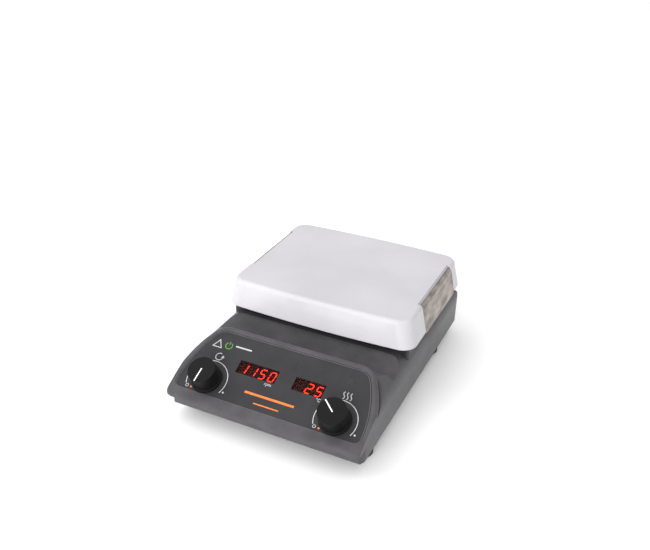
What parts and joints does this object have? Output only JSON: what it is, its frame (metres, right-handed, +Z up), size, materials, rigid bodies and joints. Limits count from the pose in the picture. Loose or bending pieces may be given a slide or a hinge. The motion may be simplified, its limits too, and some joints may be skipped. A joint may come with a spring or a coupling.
{
  "type": "magnetic stirrer",
  "caption": "Heated magnetic stirrer: sloped dark control housing with knobs and red displays, a spill channel, and a white square ceramic top with a tall skirt.",
  "frame": {"origin": "on the bench, under the middle of the object's outer box", "axes": "+Z up, +Y from the control panel to the rear panel, +X to the right as the user faces the control panel"},
  "size_m": [0.199, 0.279, 0.095],
  "materials": {
    "housing_paint": "fine texture, satin",
    "pedestal_paint": "satin",
    "base_steel": "plain sheet",
    "foot_rubber": "matt",
    "steel_screw": "plain",
    "overlay_film": "matt film",
    "display_lens": "tinted",
    "display_body": "matt",
    "lamp_lens": "translucent",
    "circuit_board": "solder mask",
    "knob_plastic": "satin",
    "marker_white": "matt",
    "control_metal": "plated",
    "ceramic_white": "glossy glass-ceramic",
    "side_steel": "heat-tinted stainless",
    "shield_steel": "plain sheet",
    "spacer_ceramic": "unglazed ceramic",
    "insulation": "fibre block",
    "heater_alloy": "oxidised",
    "probe_steel": "plain",
    "motor_steel": "plated",
    "magnet_metal": "nickel plate",
    "black_plastic": "moulded",
    "copper_winding": "enamelled copper",
    "heat_sink_metal": "extruded",
    "brass_post": "turned",
    "pin_metal": "plated"
  },
  "bodies": {
    "chassis": {"base_plate": "base_steel", "board_screws": "steel_screw", "ceramic_top": "ceramic_white", "control_board": "circuit_board", "control_overlay": "overlay_film", "encoder_sensor": "black_plastic", "fuse_holder": "black_plastic", "heat_potentiometer": "control_metal", "heat_shield": "shield_steel", "heat_sink": "heat_sink_metal", "heat_spreader": "shield_steel", "heater_ribbon": "heater_alloy", "hot_surface_lamp": "lamp_lens", "housing_screws": "steel_screw", "inlet_pins": "pin_metal", "inlet_screws": "steel_screw", "insulation_block": "insulation", "left_side_plate": "side_steel", "main_housing": "housing_paint", "mains_inlet": "black_plastic", "motor_bearings": "motor_steel", "motor_bracket": "base_steel", "motor_can": "motor_steel", "motor_isolators": "foot_rubber", "motor_stator": "motor_steel", "pedestal_screws": "steel_screw", "plate_pedestal": "pedestal_paint", "potentiometer_nuts": "steel_screw", "power_board": "circuit_board", "power_board_standoffs": "brass_post", "power_lamp": "lamp_lens", "power_triac": "black_plastic", "right_side_plate": "side_steel", "rubber_feet": "foot_rubber", "shield_spacers": "spacer_ceramic", "smoothing_capacitors": "black_plastic", "speed_display_digits": "display_body", "speed_display_window": "display_lens", "stir_potentiometer": "control_metal", "temperature_display_digits": "display_body", "temperature_display_window": "display_lens", "temperature_probe": "probe_steel", "thermal_cutout": "probe_steel", "transformer_core": "motor_steel", "transformer_windings": "copper_winding"},
    "stir_control": {"stir_knob": "knob_plastic", "stir_knob_marker": "marker_white", "stir_control_shaft": "control_metal"},
    "heat_control": {"heat_knob": "knob_plastic", "heat_knob_marker": "marker_white", "heat_control_shaft": "control_metal"},
    "rotor": {"motor_shaft": "motor_steel", "rotor_core": "motor_steel", "encoder_disc": "black_plastic", "magnet_yoke": "motor_steel", "drive_magnets": "magnet_metal"}
  },
  "joints": [
    {"name": "stir_knob_turn", "type": "hinge", "parent": "chassis", "child": "stir_control", "pos_m": [-0.0649, -0.11801, 0.04237], "axis": [0, -0.4509, 0.8926], "range_deg": [-300, 0]},
    {"name": "heat_knob_turn", "type": "hinge", "parent": "chassis", "child": "heat_control", "pos_m": [0.0649, -0.11801, 0.04237], "axis": [0, -0.4509, 0.8926], "range_deg": [-172, 128]},
    {"name": "rotor_spin", "type": "hinge", "parent": "chassis", "child": "rotor", "pos_m": [0, 0.05, 0.05], "axis": [0, 0, 1], "continuous": true}
  ]
}
